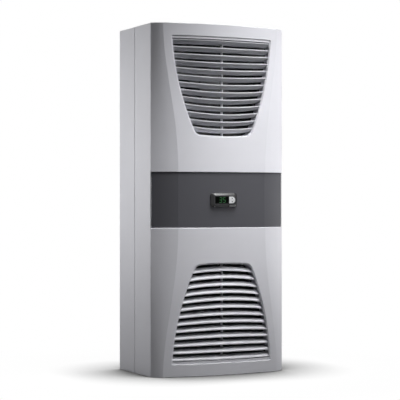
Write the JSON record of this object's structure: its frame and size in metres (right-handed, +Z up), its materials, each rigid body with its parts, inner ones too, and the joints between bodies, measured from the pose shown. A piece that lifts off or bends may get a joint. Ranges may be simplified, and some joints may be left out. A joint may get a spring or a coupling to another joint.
{
  "type": "enclosure cooling unit",
  "caption": "Tall wall-mounted cooling unit for an electrical enclosure: steel housing, crowned front with louvred grilles, dark centre band with a display, air openings at the back.",
  "frame": {"origin": "on the ground under the middle of the housing, in the plane of the underside", "axes": "+Z up, front faces -Y, +Y points into the enclosure wall, +X to the right seen from the front"},
  "size_m": [0.4, 0.2658, 0.95],
  "materials": {
    "housing_paint": "fine textured powder coat, light grey",
    "front_moulding": "fine textured moulding, light grey",
    "louvre_moulding": "fine textured moulding, light grey",
    "band_moulding": "fine textured moulding, dark grey",
    "display_black": "smooth black moulding",
    "display_pane": "black tinted pane",
    "keypad_silver": "silver lacquer",
    "dark_plastic": "black moulding",
    "filter_foam": "open-cell black foam",
    "galvanised_sheet": "zinc-coated sheet",
    "fin_aluminium": "plain rolled fins",
    "seal_foam": "black foam strip",
    "plated_steel": "zinc-plated"
  },
  "bodies": {
    "root": {"chassis_back": "housing_paint", "chassis_sides": "housing_paint", "chassis_top": "housing_paint", "chassis_base": "housing_paint", "partition_plate": "galvanised_sheet", "hood": "housing_paint", "front_panels": "front_moulding", "louvres": "louvre_moulding", "centre_band": "band_moulding", "display_bezel": "display_black", "display_window": "display_pane", "display_keypad": "keypad_silver", "filter_frame": "dark_plastic", "filter_mat": "filter_foam", "condenser_fan_housing": "galvanised_sheet", "condenser_fan_impeller": "dark_plastic", "evaporator_inlet_pan": "galvanised_sheet", "evaporator_fan_impeller": "dark_plastic", "evaporator_coil": "fin_aluminium", "coil_end_plates": "galvanised_sheet", "rear_gasket": "seal_foam", "mounting_inserts": "plated_steel", "terminal_socket": "dark_plastic"}
  },
  "joints": []
}
